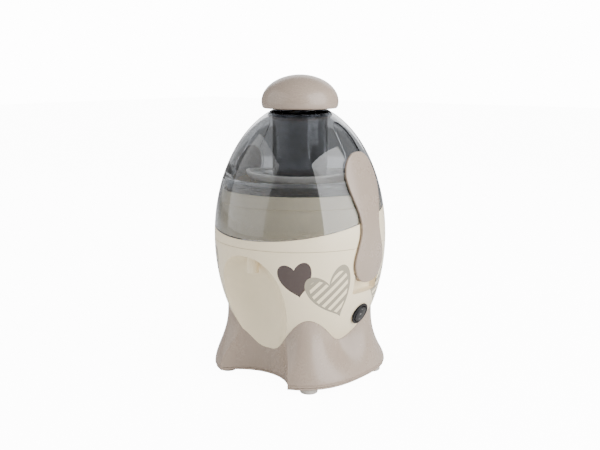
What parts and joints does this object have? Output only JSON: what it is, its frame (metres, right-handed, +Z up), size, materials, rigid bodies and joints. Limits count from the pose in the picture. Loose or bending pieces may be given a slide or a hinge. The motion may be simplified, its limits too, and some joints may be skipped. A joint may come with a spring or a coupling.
{
  "type": "centrifugal juicer",
  "caption": "Compact centrifugal juicer with an egg-shaped body, clear domed lid, plunger, side latches, spinning strainer basket and a cup bay under the spout.",
  "frame": {"origin": "on the table top under the drive axis, the centre of the bounding box's bottom face", "axes": "+Z up along the drive axis, -Y to the front with the cup bay and spout, +X to the side with the switch"},
  "size_m": [0.1838, 0.1786, 0.3104],
  "materials": {
    "cream_plastic": "gloss moulded cream",
    "taupe_plastic": "satin moulded taupe",
    "smoke_plastic": "clear smoke grey",
    "foot_plastic": "soft off-white",
    "steel": "bright steel",
    "rubber": "matt black",
    "grey_plastic": "satin light grey",
    "black_plastic": "satin black",
    "copper": "enamelled copper",
    "alloy": "cast",
    "carbon": "pressed carbon",
    "brass": "plain brass",
    "ivory_plastic": "plain ivory"
  },
  "bodies": {
    "base": {"housing": "cream_plastic", "bowl": "cream_plastic", "base_skirt": "taupe_plastic", "bottom_cover": "taupe_plastic", "front_left_foot": "foot_plastic", "front_right_foot": "foot_plastic", "rear_left_foot": "foot_plastic", "rear_right_foot": "foot_plastic", "front_left_cover_screw": "steel", "front_right_cover_screw": "steel", "rear_left_cover_screw": "steel", "rear_right_cover_screw": "steel", "left_latch_pin": "steel", "right_latch_pin": "steel", "upper_bearing": "steel", "lower_bearing": "steel", "stator_stack": "steel", "front_left_mount": "rubber", "front_right_mount": "rubber", "rear_left_mount": "rubber", "rear_right_mount": "rubber", "shaft_seal": "rubber", "switch_bezel": "black_plastic", "interlock_switch": "black_plastic", "cord_gland": "black_plastic", "left_field_coil": "copper", "right_field_coil": "copper", "upper_bracket": "alloy", "lower_bracket": "alloy", "left_brush": "carbon", "right_brush": "carbon", "left_brush_holder": "brass", "right_brush_holder": "brass", "terminal_block": "ivory_plastic"},
    "lid": {"lid": "smoke_plastic"},
    "pusher": {"pusher_stem": "smoke_plastic", "pusher_knob": "taupe_plastic"},
    "rotor": {"motor_shaft": "steel", "rotor_core": "steel", "lower_winding": "copper", "upper_winding": "copper", "commutator": "copper", "cooling_fan": "black_plastic", "drive_coupling": "black_plastic", "basket_hub": "black_plastic", "basket_rim": "grey_plastic", "filter_mesh": "steel", "grater_disc": "steel", "grater_nut": "steel"},
    "left_latch": {"left_latch": "taupe_plastic"},
    "right_latch": {"right_latch": "taupe_plastic"},
    "rocker": {"switch_rocker": "black_plastic"}
  },
  "joints": [
    {"name": "lid_lift", "type": "slide", "parent": "base", "child": "lid", "axis": [0, 0, 1], "range_m": [0, 0.09]},
    {"name": "pusher_slide", "type": "slide", "parent": "lid", "child": "pusher", "axis": [0, 0, 1], "range_m": [0, 0.095]},
    {"name": "rotor_spin", "type": "hinge", "parent": "base", "child": "rotor", "pos_m": [0, 0, 0.1], "axis": [0, 0, 1], "continuous": true},
    {"name": "left_latch_swing", "type": "hinge", "parent": "base", "child": "left_latch", "pos_m": [-0.0815, 0, 0.114], "axis": [0, -1, 0], "range_deg": [0, 75]},
    {"name": "right_latch_swing", "type": "hinge", "parent": "base", "child": "right_latch", "pos_m": [0.0815, 0, 0.114], "axis": [0, 1, 0], "range_deg": [0, 75]},
    {"name": "rocker_tilt", "type": "hinge", "parent": "base", "child": "rocker", "pos_m": [0.07695, 0, 0.07279], "axis": [0, 1, 0], "range_deg": [-12, 12]}
  ],
  "couplings": [
    {"joint": "left_latch_swing", "follows": "lid_lift", "rad_per_m": 14.5},
    {"joint": "right_latch_swing", "follows": "lid_lift", "rad_per_m": 14.5}
  ]
}
